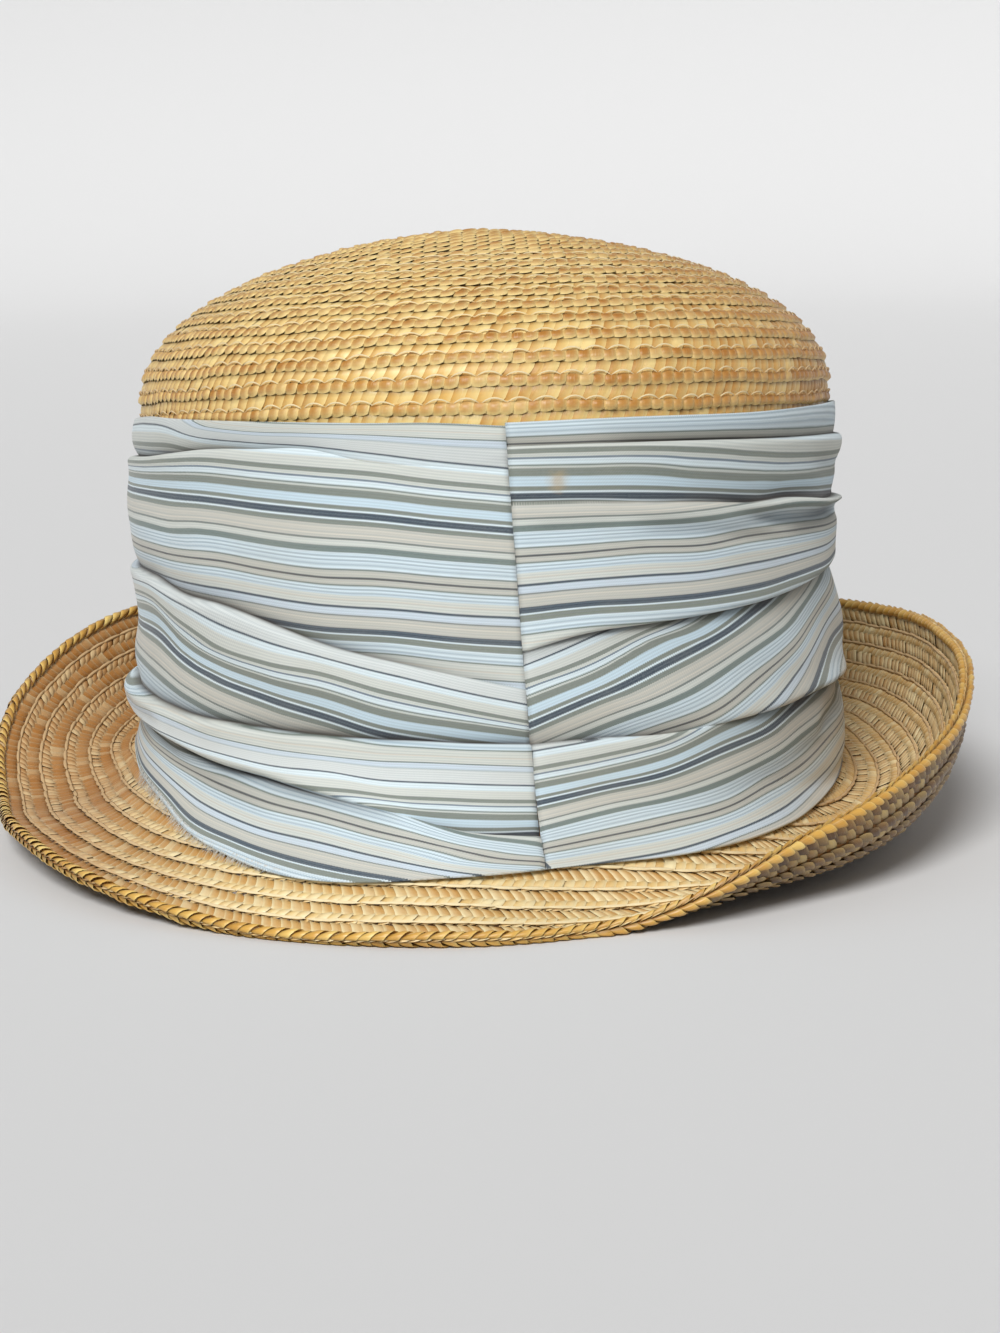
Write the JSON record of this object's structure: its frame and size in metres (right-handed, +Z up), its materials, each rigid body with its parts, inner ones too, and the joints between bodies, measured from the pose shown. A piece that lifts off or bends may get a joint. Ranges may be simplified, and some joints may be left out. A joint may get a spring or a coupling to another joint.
{
  "type": "straw cloche hat",
  "caption": "Sewn straw cloche hat with a rounded crown, a turned-up brim that dips in front, and a gathered striped cloth band.",
  "frame": {"origin": "middle of the bounding box, on the floor that the brim rests on", "axes": "+Z up, -Y towards the band's seam, +X to the right as the seam is seen"},
  "size_m": [0.2406, 0.2644, 0.1431],
  "materials": {
    "crown": "golden straw braid, satin",
    "brim": "golden straw braid, satin",
    "band": "striped woven cotton, matte"
  },
  "bodies": {
    "root": {"crown": "crown", "brim": "brim", "band": "band"}
  },
  "joints": []
}
